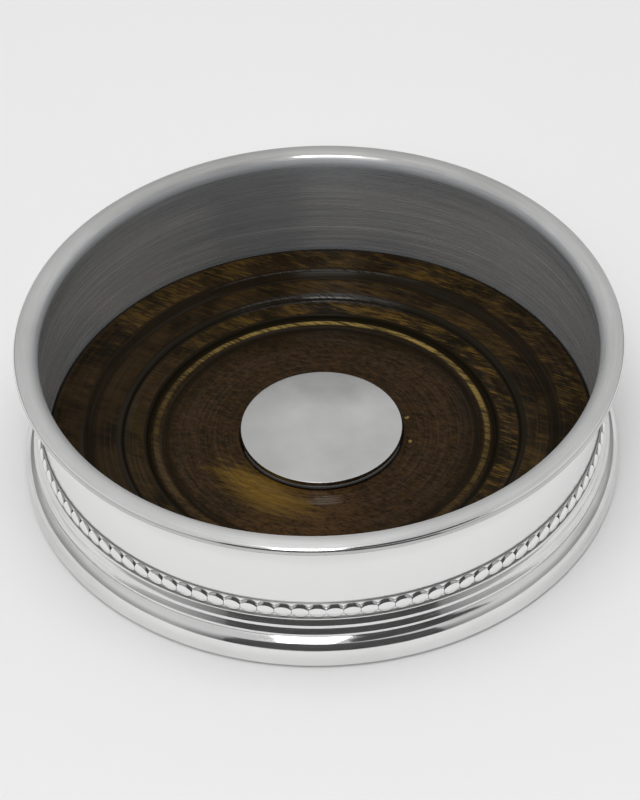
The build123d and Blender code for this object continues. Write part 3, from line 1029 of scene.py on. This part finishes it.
class COASTER_OT_stage(bpy.types.Operator):
    """Makes the camera, the surroundings, the floor, the dark cards and the lamps"""

    bl_idname = "coaster.stage"
    bl_label = "Stage"

    def execute(self, context):
        stage = context.scene.coaster_stage
        scene = context.scene
        scene.view_settings.view_transform = "Standard"
        self.camera(scene, stage)
        self.surroundings(scene, stage)
        self.floor(stage)
        black = dark_card(stage)
        self.card("front_card", black, azimuth=0.0, distance=0.9, width=(-0.6, 0.68), height=(0.0, 0.63))
        self.card("side_card", black, azimuth=35.0, distance=1.1, width=(-0.56, 0.56), height=(0.92, 3.4))
        self.lamp("key_lamp", elevation=53.0, azimuth=-8.0, distance=1.2, size=(0.35, 0.69), watts=2.4)
        fill = self.lamp(
            "fill_lamp", elevation=82.0, azimuth=-10.0, distance=1.5, size=(1.2, 1.2), watts=8.8
        )
        fill.visible_glossy = False
        return {"FINISHED"}

    def camera(self, scene, stage):
        """Camera at the photograph's angle, aimed beside the middle of the rim by the shifts."""
        data = bpy.data.cameras.new("camera")
        data.lens = stage.lens
        data.sensor_width = stage.sensor
        camera = bpy.data.objects.new("camera", data)
        scene.collection.objects.link(camera)
        tilt = Matrix.Rotation(math.pi / 2 - stage.pitch, 4, "X")
        turn = tilt @ Matrix.Rotation(stage.roll, 4, "Z")
        aside = Vector((stage.shift_right, -stage.shift_down, stage.distance))
        rim_middle = Vector((0.0, 0.0, top_of("rim_moulding")))
        camera.matrix_world = Matrix.Translation(rim_middle + turn @ aside) @ turn
        scene.camera = camera

    def surroundings(self, scene, stage):
        """World that is dim at the horizon and lighter above, most of all to the left and the right."""
        sky = Sky("surroundings")
        way = sky.node("ShaderNodeTexCoord", output="Generated")
        parts = sky.node("ShaderNodeSeparateXYZ", inputs={0: way}).socket.node.outputs
        across, up = Value(sky, parts["X"]), Value(sky, parts["Z"])
        aside = across * across
        overhead = sky.ramp(up, 0.85, 0.96)
        raised = sky.ramp(up, 0.1, 0.55)
        above = sky.blend(overhead, sky.blend(aside, stage.surroundings, stage.sides), stage.zenith)
        below = sky.blend(sky.ramp(aside, 0.2, 0.7), stage.horizon, stage.low_sides)
        sky.fill(sky.shader, {"Color": sky.blend(raised, below, above)})
        scene.world = sky.world

    def floor(self, stage):
        """Wide flat disc just under the foot: radius times cos and sin of the angle."""
        depth = 1.0 * MM
        radius = stage.floor_radius
        profile = outline((0.0, -depth), (radius, -depth), (radius, 0.0), (0.0, 0.0))
        floor = mesh_object("floor", *turned(profile, False, 96))
        floor.data.shade_flat()
        floor.data.materials.append(pale_floor(stage))

    def card(self, name, finish, azimuth, distance, width, height):
        """Upright dark card that faces the coaster; azimuth 0 is on the camera's side.

        Its points are the distance along the azimuth, plus the width across it and the height along Z.
        """
        a = math.radians(azimuth)
        across, z = np.meshgrid(width, height)
        x = distance * math.sin(a) + across * math.cos(a)
        y = across * math.sin(a) - distance * math.cos(a)
        points = np.stack([x, y, z], axis=2).reshape(-1, 3)
        card = mesh_object(name, points, [[0, 1, 3, 2]])
        card.data.materials.append(finish)
        card.visible_camera = False

    def lamp(self, name, elevation, azimuth, distance, size, watts):
        """Soft oblong lamp that faces the coaster; azimuth 0 is on the camera's side."""
        data = bpy.data.lights.new(name, "AREA")
        data.shape = "RECTANGLE"
        data.size, data.size_y = size
        data.energy = watts
        lamp = bpy.data.objects.new(name, data)
        bpy.context.scene.collection.objects.link(lamp)
        e, a = math.radians(elevation), math.radians(azimuth)
        way = Vector((math.sin(a) * math.cos(e), -math.cos(a) * math.cos(e), math.sin(e)))
        lamp.location = way * distance
        lamp.rotation_mode = "QUATERNION"
        lamp.rotation_quaternion = (-way).to_track_quat("-Z", "Y")
        return lamp


class COASTER_OT_wall(bpy.types.Operator):
    """Makes the straight wall"""

    bl_idname = "coaster.wall"
    bl_label = "Wall"

    def execute(self, context):
        sizes = context.scene.coaster_silver
        profile = worn(wall_profile(sizes), sizes.wall_wear, True, stride=3.0 * MM)
        finish = wall_silver(context.scene.coaster_finishes, sizes)
        add_piece("wall", *turned(profile, True), finish, "wall_band", "silver")
        return {"FINISHED"}


class COASTER_OT_rim(bpy.types.Operator):
    """Makes the flared rim"""

    bl_idname = "coaster.rim"
    bl_label = "Rim"

    def execute(self, context):
        sizes = context.scene.coaster_silver
        profile = worn(rim_profile(sizes), sizes.rim_wear, True, bend=6.0)
        finish = satin_silver(context.scene.coaster_finishes, sizes)
        add_piece("rim", *turned(profile, True), finish, "rim_moulding", "satin_silver")
        return {"FINISHED"}


class COASTER_OT_beads(bpy.types.Operator):
    """Makes the beaded wire: a strip with a low round bead for each step"""

    bl_idname = "coaster.beads"
    bl_label = "Beads"

    def execute(self, context):
        sizes = context.scene.coaster_silver
        strip = worn(strip_profile(sizes), sizes.bead_wear, True, bend=15.0)
        strip_points, strip_faces = turned(strip, True)
        caps, cap_faces, edge = bead_caps(sizes, len(strip_points))
        points = np.concatenate([strip_points, caps])
        finish = bead_silver(context.scene.coaster_finishes, sizes)
        beads = add_piece("beads", points, strip_faces + cap_faces, finish, "bead_wire", "silver").data
        beads.set_sharp_from_angle(angle=math.radians(60))
        beads.attributes.new("edge", "FLOAT", "POINT")
        beads.attributes["edge"].data.foreach_set("value", np.append(np.zeros(len(strip_points)), edge))
        return {"FINISHED"}


class COASTER_OT_foot(bpy.types.Operator):
    """Makes the stepped foot"""

    bl_idname = "coaster.foot"
    bl_label = "Foot"

    def execute(self, context):
        sizes = context.scene.coaster_silver
        profile = worn(foot_profile(sizes), sizes.foot_wear, True, bend=8.0)
        finish = made_once(bright_silver, context.scene.coaster_finishes, sizes)
        add_piece("foot", *turned(profile, True), finish, "foot_moulding", "silver")
        return {"FINISHED"}


class COASTER_OT_wood(bpy.types.Operator):
    """Makes the dished wooden base"""

    bl_idname = "coaster.wood"
    bl_label = "Wooden base"

    def execute(self, context):
        sizes = context.scene.coaster_wood
        profile = worn(wood_profile(sizes), sizes.wear, False, stride=2.5 * MM)
        finish = dark_wood(context.scene.coaster_finishes, sizes)
        add_piece("wood", *turned(profile, False), finish, "wood_base", "dark_wood")
        return {"FINISHED"}


class COASTER_OT_boss(bpy.types.Operator):
    """Makes the plain silver boss"""

    bl_idname = "coaster.boss"
    bl_label = "Boss"

    def execute(self, context):
        sizes = context.scene.coaster_silver
        profile = worn(boss_profile(sizes), sizes.boss_wear, False, bend=6.0)
        finish = boss_silver(context.scene.coaster_finishes, sizes)
        add_piece("boss_disc", *turned(profile, False, 256), finish, "boss", "satin_silver")
        return {"FINISHED"}


class COASTER_OT_fixings(bpy.types.Operator):
    """Gives the flange, screws, pin and washer their finishes"""

    bl_idname = "coaster.fixings"
    bl_label = "Fixings"

    def execute(self, context):
        finishes = context.scene.coaster_finishes
        brass = aged_brass(finishes)
        silver = made_once(bright_silver, finishes, context.scene.coaster_silver)
        for node, finish in (
            ("base_flange", silver),
            ("flange_screws", brass),
            ("boss_pin", brass),
            ("pin_washer", brass),
        ):
            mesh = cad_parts[node].data
            mesh.materials.clear()
            mesh.materials.append(finish)
        return {"FINISHED"}


class COASTER_OT_baize(bpy.types.Operator):
    """Makes the disc of baize under the base"""

    bl_idname = "coaster.baize"
    bl_label = "Baize"

    def execute(self, context):
        radius = reach("baize_pad")
        surface = baize_surface(radius, top_of("baize_pad"))
        finish = green_baize(context.scene.coaster_finishes)
        baize = add_piece("baize", *surface, finish, "baize_pad", "green_baize")
        return {"FINISHED"}


class COASTER_PT_panel(bpy.types.Panel):
    """Sidebar panel that lists the pieces"""

    bl_idname = "COASTER_PT_panel"
    bl_label = "Wine Bottle Coaster"
    bl_space_type = "VIEW_3D"
    bl_region_type = "UI"
    bl_category = "Coaster"

    def draw(self, context):
        for operator in OPERATORS:
            self.layout.operator(operator.bl_idname)
        for group in GROUPS:
            box = self.layout.box()
            for name in GROUPS[group].__annotations__:
                box.prop(getattr(context.scene, group), name)


GROUPS = {
    "coaster_silver": SilverSizes,
    "coaster_wood": WoodSizes,
    "coaster_finishes": CoasterFinishes,
    "coaster_stage": StageSettings,
}
OPERATORS = (
    COASTER_OT_stage,
    COASTER_OT_wall,
    COASTER_OT_rim,
    COASTER_OT_beads,
    COASTER_OT_foot,
    COASTER_OT_wood,
    COASTER_OT_boss,
    COASTER_OT_fixings,
    COASTER_OT_baize,
)


def register():
    """Registers the groups, the operators and the panel, and gives each scene its groups."""
    for cls in (*GROUPS.values(), *OPERATORS, COASTER_PT_panel):
        bpy.utils.register_class(cls)
    for name, group in GROUPS.items():
        setattr(bpy.types.Scene, name, PointerProperty(type=group))


def unregister():
    """Takes the groups, the operators and the panel away again."""
    for name in GROUPS:
        delattr(bpy.types.Scene, name)
    for cls in reversed((*GROUPS.values(), *OPERATORS, COASTER_PT_panel)):
        bpy.utils.unregister_class(cls)


def main():
    """Makes every piece in order."""
    register()
    bpy.ops.coaster.stage()
    bpy.ops.coaster.wall()
    bpy.ops.coaster.rim()
    bpy.ops.coaster.beads()
    bpy.ops.coaster.foot()
    bpy.ops.coaster.wood()
    bpy.ops.coaster.boss()
    bpy.ops.coaster.fixings()
    bpy.ops.coaster.baize()


if __name__ == "__main__":
    main()
